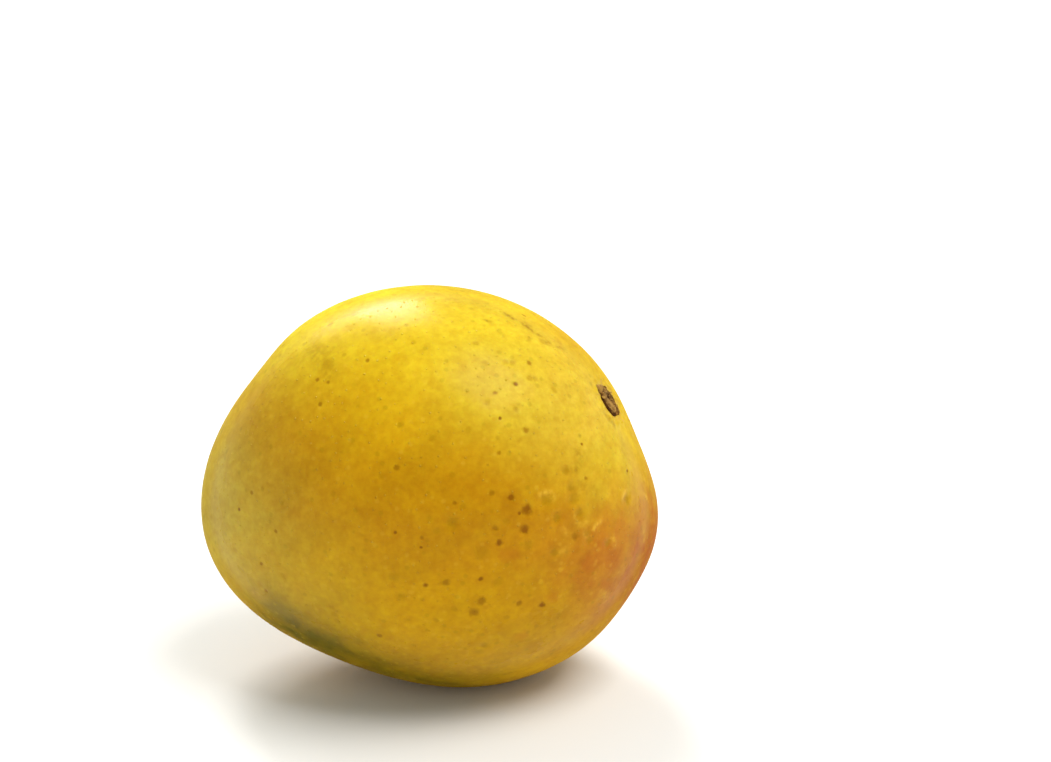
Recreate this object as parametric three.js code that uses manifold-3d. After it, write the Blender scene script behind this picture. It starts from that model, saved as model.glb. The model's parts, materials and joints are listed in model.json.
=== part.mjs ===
// A ripe round mango as picked, lying on its belly, with the scar where its stalk broke off.
// Millimetres: +X is the stalk end, +Z the back of the fruit, and -Y the side of its near cheek.
// The origin lies on the surface under the middle of the fruit.
import * as THREE from "three";
import { mergeVertices } from "three/addons/utils/BufferGeometryUtils.js";
import Module from "manifold-3d";

const wasm = await Module();
wasm.setup();

const DEGREE = Math.PI / 180;

// The plain form is an ellipsoid of these half sizes, its girth growing towards the stalk end.
const HALF_LENGTH = 45;
const HALF_WIDTH = 34.5;
const HALF_HEIGHT = 40.7;
const STALK_END_FULLNESS = 0.094;

// Soft swells and hollows on it. "around" turns from the stalk end over the back, and "out" leans
// towards the near cheek, both in degrees. "rise" is in mm and "spread" in degrees.
const SWELLS = [
  { name: "belly shoulder", around: -13, out: 0, rise: 5.3, spread: 22 },
  { name: "scar dip", around: 11, out: -4, rise: -1.2, spread: 9 },
  { name: "chin dip", around: -24, out: 6, rise: -1, spread: 9 },
  { name: "chin", around: -55, out: 0, rise: 2.1, spread: 22 },
  { name: "belly hollow", around: -119, out: 0, rise: -2.3, spread: 34 },
  { name: "tip", around: -153, out: 0, rise: 2.4, spread: 22 },
  { name: "nape hollow", around: 162, out: 0, rise: -4.1, spread: 27.5 },
  { name: "nape dip", around: 142, out: -3, rise: -0.5, spread: 9 },
  { name: "crown", around: 115, out: 0, rise: 1.4, spread: 24 },
  { name: "near cheek", around: 10, out: 75, rise: 0.8, spread: 40 },
  { name: "far cheek", around: 170, out: -60, rise: -0.8, spread: 34 },
];

// The flat spot that the weight of the fruit rests on is this deep at its middle.
const FLAT_SPOT_DEPTH = 1.2;

// The stalk end: a shallow bowl in the skin round the scar, and a low collar of corky lobes.
const SCAR_PLACE = { around: 27.7, out: 5.2 };
const BOWL_DEPTH = 0.9;
const BOWL_REACH = 6.5;
const COLLAR_RADIUS = 5;
const COLLAR_BREADTH = 0.8;
const COLLAR_RISE = 0.3;
const COLLAR_LOBES = 10;
const SCAR_HOLE_RADIUS = 3.85;
const SCAR_HOLE_DEPTH = 2.4;

// The scar itself: a woody plug with a ragged rim, a raised ring and a crumb of pith in its pit.
const PLUG_RADIUS = 3.4;
const PLUG_DEPTH = 2;
const RIM_RAGGEDNESS = 0.12;
const RIM_POINTS = 9;
const RIM_RISE = 0.5;
const GROOVE_RADIUS = 2.7;
const GROOVE_RISE = 0.3;
const RING_RADIUS = 2.2;
const RING_RISE = 0.65;
const PIT_RADIUS = 1.3;
const PIT_DEPTH = 0.3;
const PITH_RADIUS = 0.7;
const PITH_RISE = 0.25;

// How finely the skin is drawn: rings round the scar out to the collar's edge, then on to the far end.
const SKIN_SEGMENTS = 72;
const COLLAR_EDGE = 8;
const COLLAR_RINGS = 13;
const BODY_RINGS = 38;
const ROUND_SEGMENTS = 54;

// The unit direction from the middle of the fruit to a place given by its two angles.
function directionTo({ around, out }) {
  const inward = Math.cos(out * DEGREE);
  return new THREE.Vector3(
    Math.cos(around * DEGREE) * inward,
    -Math.sin(out * DEGREE),
    Math.sin(around * DEGREE) * inward,
  );
}

// How far the skin is from the middle of the fruit in a direction, without the stalk end's relief.
function formRadius(direction) {
  const girth = 1 + STALK_END_FULLNESS * direction.x;
  const stretched = new THREE.Vector3(
    direction.x / HALF_LENGTH,
    direction.y / (HALF_WIDTH * girth),
    direction.z / (HALF_HEIGHT * girth),
  );
  let radius = 1 / stretched.length();
  for (const swell of SWELLS) {
    const away = direction.dot(directionTo(swell)) - 1;
    radius += swell.rise * Math.exp(away / (swell.spread * DEGREE) ** 2);
  }
  return radius;
}

// The relief of the stalk end: the bowl, with the collar's lobes standing in it, broad and narrow by turns.
function stalkEndRelief(distance, turn) {
  const bowl = -BOWL_DEPTH * Math.exp(-((distance / BOWL_REACH) ** 2));
  const ridge = Math.exp(-(((distance - COLLAR_RADIUS) / COLLAR_BREADTH) ** 2));
  const lobe = 0.5 + 0.5 * Math.cos(COLLAR_LOBES * turn + 0.6 * Math.sin(3 * turn));
  return bowl + COLLAR_RISE * ridge * lobe;
}

const scarDirection = directionTo(SCAR_PLACE);
const scarDistance = formRadius(scarDirection);
const towardsBack = new THREE.Vector3(0, 0, 1).addScaledVector(scarDirection, -scarDirection.z).normalize();
const towardsSide = new THREE.Vector3().crossVectors(towardsBack, scarDirection);

// A point of the skin, by its angle from the scar and its turn about it.
function skinPoint(angle, turn) {
  const sideways = towardsBack.clone().multiplyScalar(Math.cos(turn)).addScaledVector(towardsSide, Math.sin(turn));
  const direction = scarDirection.clone().multiplyScalar(Math.cos(angle)).addScaledVector(sideways, Math.sin(angle));
  const radius = formRadius(direction) + stalkEndRelief(angle * scarDistance, turn);
  return direction.multiplyScalar(radius);
}

// The angle of each ring of the skin from the scar: close together on the collar, wider beyond.
function ringAngle(ring) {
  const collarAngle = COLLAR_EDGE / scarDistance;
  if (ring <= COLLAR_RINGS) {
    return (collarAngle * ring) / COLLAR_RINGS;
  }
  const share = (ring - COLLAR_RINGS) / (BODY_RINGS + 1);
  return collarAngle + (Math.PI - collarAngle) * share ** 1.15;
}

// The whole skin as one closed surface of rings between the scar and the far end.
function skinGeometry() {
  const rings = COLLAR_RINGS + BODY_RINGS;
  const points = [skinPoint(0, 0)];
  for (let ring = 1; ring <= rings; ring += 1) {
    for (let step = 0; step < SKIN_SEGMENTS; step += 1) {
      points.push(skinPoint(ringAngle(ring), (2 * Math.PI * step) / SKIN_SEGMENTS));
    }
  }
  points.push(skinPoint(Math.PI, 0));

  const last = points.length - 1;
  const at = (ring, step) => 1 + (ring - 1) * SKIN_SEGMENTS + (step % SKIN_SEGMENTS);
  const faces = [];
  for (let step = 0; step < SKIN_SEGMENTS; step += 1) {
    faces.push(0, at(1, step + 1), at(1, step));
    for (let ring = 1; ring < rings; ring += 1) {
      faces.push(at(ring, step), at(ring, step + 1), at(ring + 1, step));
      faces.push(at(ring, step + 1), at(ring + 1, step + 1), at(ring + 1, step));
    }
    faces.push(at(rings, step), at(rings, step + 1), last);
  }
  return new THREE.BufferGeometry().setFromPoints(points).setIndex(faces);
}

// A closed geometry as a solid, and a solid as a geometry again.
function solidOf(geometry) {
  const bare = geometry.clone();
  bare.deleteAttribute("normal");
  bare.deleteAttribute("uv");
  const merged = mergeVertices(bare, 1e-4);
  return new wasm.Manifold(
    new wasm.Mesh({
      numProp: 3,
      vertProperties: merged.attributes.position.array,
      triVerts: Uint32Array.from(merged.index.array),
    }),
  );
}

function geometryOf(solid) {
  const mesh = solid.getMesh();
  const geometry = new THREE.BufferGeometry();
  geometry.setAttribute("position", new THREE.BufferAttribute(mesh.vertProperties, 3));
  geometry.setIndex(new THREE.BufferAttribute(mesh.triVerts, 1));
  geometry.computeVertexNormals();
  return geometry;
}

// The scar's own frame: on the floor of the bowl, with its Z square to the skin.
function scarFrame() {
  const reach = SCAR_HOLE_RADIUS / scarDistance;
  const middle = skinPoint(0, 0);
  const acrossBack = skinPoint(reach, 0).sub(skinPoint(reach, Math.PI));
  const acrossSide = skinPoint(reach, Math.PI / 2).sub(skinPoint(reach, -Math.PI / 2));
  const outward = new THREE.Vector3().crossVectors(acrossSide, acrossBack).normalize();
  const upright = new THREE.Quaternion().setFromUnitVectors(new THREE.Vector3(0, 0, 1), outward);
  return { middle, upright };
}

// The fruit in one piece: its skin's form, less the flat spot and the plain hole that the scar sits in.
function fruit(scar) {
  const skin = skinGeometry();
  skin.computeBoundingBox();
  const { min, max } = skin.boundingBox;
  const groundLevel = min.z + FLAT_SPOT_DEPTH;
  const slabHeight = 10;
  const slab = new THREE.BoxGeometry(2 * (max.x - min.x), 2 * (max.y - min.y), slabHeight);
  slab.translate(0, 0, groundLevel - slabHeight / 2);

  const clearance = 4;
  const hole = new THREE.CylinderGeometry(
    SCAR_HOLE_RADIUS,
    SCAR_HOLE_RADIUS,
    SCAR_HOLE_DEPTH + clearance,
    ROUND_SEGMENTS,
  );
  hole.rotateX(Math.PI / 2);
  hole.translate(0, 0, (clearance - SCAR_HOLE_DEPTH) / 2);
  hole.applyQuaternion(scar.upright);
  hole.translate(scar.middle.x, scar.middle.y, scar.middle.z);

  const cut = solidOf(skin).subtract(solidOf(slab)).subtract(solidOf(hole));
  const ripeSkin = new THREE.MeshStandardMaterial({ color: 0xd9a31f, roughness: 0.42, metalness: 0 });
  const mesh = new THREE.Mesh(geometryOf(cut), ripeSkin);
  mesh.name = "fruit";
  return mesh;
}

// The woody scar, turned about its own axis and then made ragged along its rim.
function stemScar(scar) {
  const profile = [
    [0, -PLUG_DEPTH],
    [PLUG_RADIUS - 0.2, -PLUG_DEPTH],
    [PLUG_RADIUS, -PLUG_DEPTH / 2],
    [PLUG_RADIUS, RIM_RISE / 2],
    [(PLUG_RADIUS + GROOVE_RADIUS) / 2, RIM_RISE],
    [GROOVE_RADIUS, GROOVE_RISE],
    [RING_RADIUS + 0.2, RING_RISE * 0.8],
    [RING_RADIUS, RING_RISE],
    [RING_RADIUS - 0.3, RING_RISE * 0.7],
    [PIT_RADIUS + 0.3, 0],
    [PIT_RADIUS, -PIT_DEPTH],
    [PITH_RADIUS, -PIT_DEPTH],
    [PITH_RADIUS * 0.6, PITH_RISE * 0.6],
    [0, PITH_RISE],
  ];
  const plug = new THREE.LatheGeometry(
    profile.map(([radius, height]) => new THREE.Vector2(radius, height)),
    ROUND_SEGMENTS,
  );
  plug.rotateX(Math.PI / 2);
  const place = plug.attributes.position;
  for (let n = 0; n < place.count; n += 1) {
    const turn = Math.atan2(place.getY(n), place.getX(n));
    const share = Math.hypot(place.getX(n), place.getY(n)) / PLUG_RADIUS;
    const stretch = 1 + (RIM_RAGGEDNESS / PLUG_RADIUS) * share ** 4 * Math.cos(RIM_POINTS * turn);
    place.setXY(n, place.getX(n) * stretch, place.getY(n) * stretch);
  }
  const corkyWood = new THREE.MeshStandardMaterial({ color: 0x5e4628, roughness: 0.92, metalness: 0 });
  const mesh = new THREE.Mesh(geometryOf(solidOf(plug)), corkyWood);
  mesh.name = "stem_scar";
  mesh.position.copy(scar.middle);
  mesh.quaternion.copy(scar.upright);
  return mesh;
}

const scar = scarFrame();
const fruitMesh = fruit(scar);
const mango = new THREE.Group();
mango.add(fruitMesh, stemScar(scar));

// The origin goes under the middle of the fruit, on the plane of its flat spot.
fruitMesh.geometry.computeBoundingBox();
const extent = fruitMesh.geometry.boundingBox;
const middle = extent.getCenter(new THREE.Vector3());
mango.position.set(-middle.x, -middle.y, -extent.min.z);

export default mango;
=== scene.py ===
import json
import math

import bmesh
import bpy
import numpy as np
from mathutils import Matrix, Vector, noise
from mathutils.bvhtree import BVHTree

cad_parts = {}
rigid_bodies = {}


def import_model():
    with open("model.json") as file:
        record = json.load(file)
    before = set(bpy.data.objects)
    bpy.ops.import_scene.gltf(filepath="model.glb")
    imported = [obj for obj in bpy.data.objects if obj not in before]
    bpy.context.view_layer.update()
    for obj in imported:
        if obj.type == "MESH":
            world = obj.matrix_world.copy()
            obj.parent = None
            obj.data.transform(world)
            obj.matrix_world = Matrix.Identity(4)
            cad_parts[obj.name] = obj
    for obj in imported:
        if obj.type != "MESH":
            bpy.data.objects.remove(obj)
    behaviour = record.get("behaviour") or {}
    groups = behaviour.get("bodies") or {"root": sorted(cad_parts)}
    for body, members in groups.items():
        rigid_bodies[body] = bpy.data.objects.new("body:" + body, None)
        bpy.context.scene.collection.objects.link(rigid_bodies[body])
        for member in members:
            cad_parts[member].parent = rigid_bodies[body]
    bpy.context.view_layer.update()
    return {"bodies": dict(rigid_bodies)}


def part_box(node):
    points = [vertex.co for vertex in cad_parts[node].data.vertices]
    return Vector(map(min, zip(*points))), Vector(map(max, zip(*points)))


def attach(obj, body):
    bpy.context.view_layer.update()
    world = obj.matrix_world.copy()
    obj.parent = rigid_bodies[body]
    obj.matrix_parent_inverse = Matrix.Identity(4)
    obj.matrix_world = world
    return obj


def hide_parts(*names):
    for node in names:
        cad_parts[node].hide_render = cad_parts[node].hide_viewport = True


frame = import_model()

mm = 0.001
body = "root" if "root" in frame["bodies"] else next(iter(frame["bodies"]))


# sRGB hex to the linear colour that Blender's sockets take
def linear(hexText):
    parts = [int(hexText[i:i + 2], 16) / 255 for i in (1, 3, 5)]
    return tuple([p / 12.92 if p <= 0.04045 else ((p + 0.055) / 1.055) ** 2.4 for p in parts] + [1.0])


# adds one node; a socket among the inputs is linked, anything else is set
def addNode(tree, kind, settings=None, inputs=None):
    node = tree.nodes.new(kind)
    for name, value in (settings or {}).items():
        setattr(node, name, value)
    for name, value in (inputs or {}).items():
        if isinstance(value, bpy.types.NodeSocket):
            tree.links.new(value, node.inputs[name])
        else:
            node.inputs[name].default_value = value
    return node


# smooth noise from -1 to 1 at each point, its lumps about grain across
def lumps(points, grain, seed):
    shift = Vector((seed * 17.3, seed * -9.1, seed * 5.7))
    return np.array([noise.noise(Vector(p) / grain + shift) for p in points])


def smoothStep(low, high, value):
    t = np.clip((value - low) / (high - low), 0, 1)
    return t * t * (3 - 2 * t)


def storeAttribute(mesh, name, kind, domain, values):
    layer = mesh.attributes.new(name, kind, domain)
    key = {"FLOAT": "value", "FLOAT_VECTOR": "vector", "FLOAT_COLOR": "color"}[kind]
    layer.data.foreach_set(key, np.asarray(values, np.float32).ravel())


def meshOf(name, points, faces):
    mesh = bpy.data.meshes.new(name)
    mesh.from_pydata([tuple(p) for p in points], [], [[int(v) for v in face] for face in faces])
    mesh.update()
    return mesh


def addPiece(name, mesh, material):
    piece = bpy.data.objects.new(name, mesh)
    bpy.context.scene.collection.objects.link(piece)
    mesh.materials.clear()
    mesh.materials.append(material)
    mesh.polygons.foreach_set("use_smooth", [True] * len(mesh.polygons))
    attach(piece, body)
    return piece


# a geometry tree that takes a mesh and the named sizes
def startTree(name, sizes):
    tree = bpy.data.node_groups.new(name, "GeometryNodeTree")
    tree.interface.new_socket("Geometry", in_out="INPUT", socket_type="NodeSocketGeometry")
    for size in sizes:
        kind = "NodeSocketInt" if size in ("Seed", "Count") else "NodeSocketFloat"
        tree.interface.new_socket(size, in_out="INPUT", socket_type=kind)
    tree.interface.new_socket("Geometry", in_out="OUTPUT", socket_type="NodeSocketGeometry")
    return tree


# runs a geometry tree on a copy of a mesh and gives back the plain mesh that it makes
def grown(name, source, tree, sizes):
    worker = bpy.data.objects.new(name, source.copy())
    bpy.context.scene.collection.objects.link(worker)
    modifier = worker.modifiers.new(name, "NODES")
    modifier.node_group = tree
    for item in tree.interface.items_tree:
        if item.in_out == "INPUT" and item.name in sizes:
            modifier[item.identifier] = sizes[item.name]
    depsgraph = bpy.context.evaluated_depsgraph_get()
    mesh = bpy.data.meshes.new_from_object(worker.evaluated_get(depsgraph), depsgraph=depsgraph)
    bpy.data.objects.remove(worker)
    mesh.name = name
    return mesh


# the fruit's form, the same as the solid's: an ellipsoid, fuller at the stalk end, with soft swells;
# around turns from the stalk end over the back, and out leans to the near cheek, both in degrees;
# the rest is in mm
fruitForm = {
    "halfLength": 45.0,
    "halfWidth": 34.5,
    "halfHeight": 40.7,
    "stalkEndFullness": 0.094,
    "flatSpotDepth": 1.2,
    "swells": {                          # around, out, rise, spread
        "belly shoulder": (-13, 0, 5.3, 22),
        "scar dip": (11, -4, -1.2, 9),
        "chin dip": (-24, 6, -1.0, 9),
        "chin": (-55, 0, 2.1, 22),
        "belly hollow": (-119, 0, -2.3, 34),
        "tip": (-153, 0, 2.4, 22),
        "nape hollow": (162, 0, -4.1, 27.5),
        "nape dip": (142, -3, -0.5, 9),
        "crown": (115, 0, 1.4, 24),
        "near cheek": (10, 75, 0.8, 40),
        "far cheek": (170, -60, -0.8, 34),
    },
}
stalkEnd = {
    "around": 27.7, "out": 5.2,          # where the scar sits
    "bowlDepth": 0.9, "bowlReach": 6.5,
    "collarRadius": 5.0, "collarBreadth": 0.8, "collarRise": 0.3,
    "collarLobes": 10, "lobeDrift": 0.6,
    "holeRadius": 3.85, "holeDepth": 1.5,
    "wallOutside": 0.22, "wallInside": 0.12,    # the hole's wall, out and in from the plug's edge
    # the plug's torn edge: how far out it stands, how much less at a tongue, and its waves, each as
    # count, shift and size
    "edgeReach": 3.36, "edgeDip": 0.16,
    "edgeWaves": [(3, 0.7, 0.09), (5, 2.1, 0.072), (9, 4.0, 0.054), (17, 1.1, 0.04)],
    # tongues of tan skin that reach over the scar's dark edge: middle and breadth in degrees,
    # counted from the fruit's back towards the near cheek
    "tongues": [(22, 15), (172, 13), (-130, 17), (-72, 9), (-24, 12)],
    # a corky crumb beside the plug; its lumps are size, grain and seed
    "crumb": {
        "back": 3.7, "side": 1.9, "wide": 1.05, "squeezed": 0.85, "rise": 1.0,
        "raggedness": 0.25, "raggedGrain": 0.6, "lumps": [(0.16, 0.9, 21), (0.08, 0.35, 22)]},
}


def directionTo(around, out):
    a, o = math.radians(around), math.radians(out)
    return np.array([math.cos(a) * math.cos(o), -math.sin(o), math.sin(a) * math.cos(o)])


# 1 at a place on the fruit, falling off smoothly around it
def nearness(directions, around, out, spread):
    return np.exp((directions @ directionTo(around, out) - 1) / math.radians(spread) ** 2)


def formRadius(directions):
    girth = 1 + fruitForm["stalkEndFullness"] * directions[:, 0]
    across = np.stack([
        directions[:, 0] / fruitForm["halfLength"],
        directions[:, 1] / (fruitForm["halfWidth"] * girth),
        directions[:, 2] / (fruitForm["halfHeight"] * girth),
    ])
    radius = 1 / np.sqrt((across ** 2).sum(0))
    for around, out, rise, spread in fruitForm["swells"].values():
        radius = radius + rise * nearness(directions, around, out, spread)
    return radius


# directions at an angle from the scar and a turn about it, as the solid's skin is laid out
scarDirection = directionTo(stalkEnd["around"], stalkEnd["out"])
scarDistance = float(formRadius(scarDirection[None])[0])
towardsBack = np.array([0, 0, 1.0]) - scarDirection * scarDirection[2]
towardsBack /= np.linalg.norm(towardsBack)
towardsSide = np.cross(towardsBack, scarDirection)


def directionsFromScar(angle, turn):
    sideways = np.cos(turn)[:, None] * towardsBack + np.sin(turn)[:, None] * towardsSide
    return np.cos(angle)[:, None] * scarDirection + np.sin(angle)[:, None] * sideways


# the collar is pinched into lobes, unevenly spaced
def collarLobe(turn):
    return 0.5 + 0.5 * np.cos(stalkEnd["collarLobes"] * turn + stalkEnd["lobeDrift"] * np.sin(3 * turn))


def tongueShare(turn):
    share = np.zeros(np.shape(turn))
    for middle, breadth in stalkEnd["tongues"]:
        away = (np.degrees(turn) - middle + 180) % 360 - 180
        share = np.maximum(share, np.exp(-(away / breadth) ** 2))
    return share


def bowlAndCollar(distance, turn):
    bowl = -stalkEnd["bowlDepth"] * np.exp(-(distance / stalkEnd["bowlReach"]) ** 2)
    ridge = np.exp(-((distance - stalkEnd["collarRadius"]) / stalkEnd["collarBreadth"]) ** 2)
    return bowl + stalkEnd["collarRise"] * ridge * collarLobe(turn)


# the form is laid over the solid's box: its length gives the scale, its middle and its ground the place
def placeOfForm():
    steps = 180
    turns, angles = np.meshgrid(np.linspace(0, 2 * math.pi, steps), np.linspace(0, math.pi, steps))
    directions = directionsFromScar(angles.ravel(), turns.ravel())
    points = directions * formRadius(directions)[:, None]
    low, high = points.min(0), points.max(0)
    solidLow, solidHigh = (np.array(corner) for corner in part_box("fruit"))
    scale = (solidHigh[0] - solidLow[0]) / ((high[0] - low[0]) * mm)
    middle = (low + high) / 2 * mm * scale
    ground = (low[2] + fruitForm["flatSpotDepth"]) * mm * scale
    shift = np.array([
        (solidLow[0] + solidHigh[0]) / 2 - middle[0],
        (solidLow[1] + solidHigh[1]) / 2 - middle[1],
        solidLow[2] - ground,
    ])
    return scale, shift


formScale, formMiddle = placeOfForm()
print("form laid over the solid, scale", round(float(formScale), 4), "middle", formMiddle.round(5))


# from the form's mm to the frame's metres
def placed(points):
    return points * mm * formScale + formMiddle


# a long lens a little above the fruit, which lies left of the middle of the frame and below it
view = {
    "turn": 2.6, "elevation": 20.0,                      # degrees
    "lens": 85.0, "sensor": 36.0,                        # mm
    "nearest": 0.01, "farthest": 20,                     # what it sees, m
    "across": -22.98, "above": -21.46, "away": 500.0,    # the form's middle in the camera's axes, mm
    "frameWidth": 1051, "frameHeight": 762,
}


def cameraAxes():
    turn, elevation = math.radians(view["turn"]), math.radians(view["elevation"])
    right = np.array([math.cos(turn), math.sin(turn), 0])
    ahead = np.array([
        -math.sin(turn) * math.cos(elevation),
        math.cos(turn) * math.cos(elevation),
        -math.sin(elevation),
    ])
    return right, np.cross(right, ahead), ahead


cameraRight, cameraUp, cameraAhead = cameraAxes()
cameraPlace = formMiddle - mm * (
    view["across"] * cameraRight + view["above"] * cameraUp + view["away"] * cameraAhead)


def addCamera():
    data = bpy.data.cameras.new("camera")
    data.lens, data.sensor_width = view["lens"], view["sensor"]
    data.clip_start, data.clip_end = view["nearest"], view["farthest"]
    camera = bpy.data.objects.new("camera", data)
    turned = Matrix([list(row) for row in zip(cameraRight, cameraUp, -cameraAhead)])
    camera.matrix_world = Matrix.Translation(Vector(cameraPlace)) @ turned.to_4x4()
    bpy.context.scene.collection.objects.link(camera)
    bpy.context.scene.camera = camera


addCamera()
print("camera set")


# the skin's mesh: rings round the scar, close together near it, then on to the far end
skinMesh = {
    "segments": 340, "collarRings": 52, "bodyRings": 210, "collarEdge": 8.4, "crowding": 1.12,
    "broadGrain": 21.0, "broadRise": 0.16,       # slow unevenness of a ripe fruit, mm
    "fineGrain": 5.5, "fineRise": 0.035,         # and the finer one of its peel
    "creaseRise": 0.09, "streakPitch": 0.45,
    "gritGrain": 0.7, "gritRise": 0.05,          # the collar is gritty
    "gritAt": 4.4, "gritReach": 0.9,             # at this distance from the scar's middle
    "crumbSwell": 0.2,
    "spotEdge": 0.3,                             # how softly the flat spot begins
}


def skinGrid():
    s = skinMesh
    collarAngle = s["collarEdge"] / scarDistance
    near = collarAngle * np.arange(1, s["collarRings"] + 1) / s["collarRings"]
    share = np.arange(1, s["bodyRings"] + 1) / (s["bodyRings"] + 1)
    far = collarAngle + (math.pi - collarAngle) * share ** s["crowding"]
    rings = np.concatenate([near, far])
    turns = 2 * math.pi * np.arange(s["segments"]) / s["segments"]
    angle = np.concatenate([[0], np.repeat(rings, s["segments"]), [math.pi]])
    turn = np.concatenate([[0], np.tile(turns, len(rings)), [0]])
    count, n = len(rings), s["segments"]

    def at(ring, step):
        return 1 + ring * n + step % n

    steps = np.arange(n)
    faces = [[0, at(0, k + 1), at(0, k)] for k in steps]
    for ring in range(count - 1):
        faces += [[at(ring, k), at(ring, k + 1), at(ring + 1, k + 1), at(ring + 1, k)] for k in steps]
    faces += [[at(count - 1, k), at(count - 1, k + 1), 1 + count * n] for k in steps]
    return angle, turn, faces


skinAngle, skinTurn, skinFaces = skinGrid()
skinDirections = directionsFromScar(skinAngle, skinTurn)
skinDistance = skinAngle * scarDistance            # mm along the skin from the scar, true near it
plainSkin = skinDirections * formRadius(skinDirections)[:, None]
plainTree = BVHTree.FromPolygons([Vector(p) for p in placed(plainSkin)], skinFaces)


# the place on the plain skin that a pixel of the camera's frame shows, in the form's mm
def seenAt(pixel):
    focal = view["frameWidth"] * view["lens"] / view["sensor"]
    ray = (
        cameraRight * (pixel[0] - view["frameWidth"] / 2) / focal
        + cameraUp * (view["frameHeight"] / 2 - pixel[1]) / focal
        + cameraAhead)
    hit = plainTree.ray_cast(Vector(cameraPlace), Vector(ray).normalized())[0]
    if hit is None:
        raise ValueError(f"nothing of the fruit is seen at {pixel}")
    return (np.array(hit) - formMiddle) / (mm * formScale)


# marks on the skin; "at" is where the camera's frame shows each one, wide is its breadth in mm
markKinds = {
    "dark": {"colour": "#865000", "share": 0.92, "sunk": 0.08},
    "brown": {"colour": "#926000", "share": 0.74, "sunk": 0.05},
    "soft": {"colour": "#A07400", "share": 0.40, "sunk": 0.03},
    "olive": {"colour": "#9A7002", "share": 0.50, "sunk": 0.18},
    "rosy": {"colour": "#B4620C", "share": 0.26, "sunk": 0.0},
    "pale": {"colour": "#DDB02A", "share": 0.35, "sunk": -0.05},
}
# a mark is a shallow dent inside a faint rim, in parts of its breadth
markDent = {"steepness": 1.6, "rimAt": 1.0, "rimWide": 0.35, "rimRise": 0.35}
seenMarks = [
    {"kind": "dark", "wide": 2.1, "at": [(526.9, 509.7)]},
    {"kind": "dark", "wide": 1.8, "at": [(524.6, 529.6)]},
    {"kind": "dark", "wide": 1.4, "at": [(499.5, 543), (511, 497), (542, 605)]},
    {"kind": "dark", "wide": 1.0, "at": [(480.5, 579), (515.5, 384), (425.4, 585)]},
    {"kind": "dark", "wide": 0.7, "at": [
        (421, 547.5), (239, 509.5), (582, 444), (519.5, 513.5), (627.7, 471), (500, 418.5),
        (395.5, 532.5)]},
    {"kind": "brown", "wide": 1.9, "at": [(481.4, 601), (473.7, 612.5)]},
    {"kind": "brown", "wide": 1.6, "at": [(445.6, 582), (575, 536)]},
    {"kind": "brown", "wide": 1.2, "at": [
        (529, 362.8), (396.5, 467.6), (519.3, 603.6), (491.6, 493), (495, 528), (379.7, 635.6),
        (525.7, 430)]},
    {"kind": "brown", "wide": 0.9, "at": [
        (367.4, 360.4), (317.5, 379.5), (328, 382.5), (319.8, 404.5), (499, 453), (454.3, 503),
        (421.7, 537.5), (586, 478.5), (275.5, 531.8), (261.5, 564), (266, 591), (251.6, 492.5),
        (524, 315.5), (495, 393), (518.5, 603.5)]},
    {"kind": "soft", "wide": 3.0, "at": [(481, 553)]},
    {"kind": "soft", "wide": 2.6, "at": [(328, 364)]},
    {"kind": "soft", "wide": 2.0, "at": [(394, 577), (401.5, 596.5), (498, 582), (479, 652), (528, 545)]},
    {"kind": "soft", "wide": 1.3, "at": [
        (512, 363), (506, 362), (554, 390), (413.5, 342.2), (330, 324.5), (260, 585), (283, 575),
        (365, 551), (332, 607), (334, 614), (337, 621), (308, 613), (315, 619), (454, 609), (436, 620),
        (487, 403), (515.5, 409), (535, 379), (530, 378.5), (476, 343), (485, 363), (468, 430),
        (401, 425), (432, 438), (506.3, 521.5), (381, 476), (451.6, 475.4), (429.5, 518), (436.4, 531),
        (333, 494), (352, 637.5), (506.8, 618), (559, 616), (235, 550), (211, 516.5), (462.6, 506.3)]},
    {"kind": "olive", "wide": 2.4, "at": [(451.6, 523), (546.2, 500), (574, 498.5)]},
    {"kind": "olive", "wide": 1.7, "at": [
        (556.7, 517.4), (579.5, 512.6), (589, 540), (607.6, 543), (554, 553), (566, 471), (571, 488),
        (587, 533.5), (485, 646), (626.3, 498.5)]},
    {"kind": "rosy", "wide": 2.8, "at": [
        (589, 562), (588, 569), (607, 584), (579, 578), (622, 520), (506, 556), (513, 555), (522, 636),
        (554, 598)]},
    {"kind": "pale", "wide": 1.1, "at": [
        (440, 620), (411, 592), (468, 627), (458, 637), (490, 637), (540.8, 582), (560.5, 570),
        (447, 645)]},
]
# more of them, scattered over the sides that the camera doesn't see and clear of the scar
unseenMarks = {
    "count": 90, "seed": 11, "narrow": 0.8, "wide": 2.2, "apart": 3.6, "darkShrink": 0.6,
    "towardsCamera": 0.1, "towardsScar": 0.97,       # cosines past which none is set
    "kinds": ("dark", "brown", "brown", "soft", "soft", "soft", "olive", "pale"),
}
tipPoint = {"around": -158, "out": -12, "kind": "brown", "wide": 1.9}    # where the flower's style stood


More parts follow.
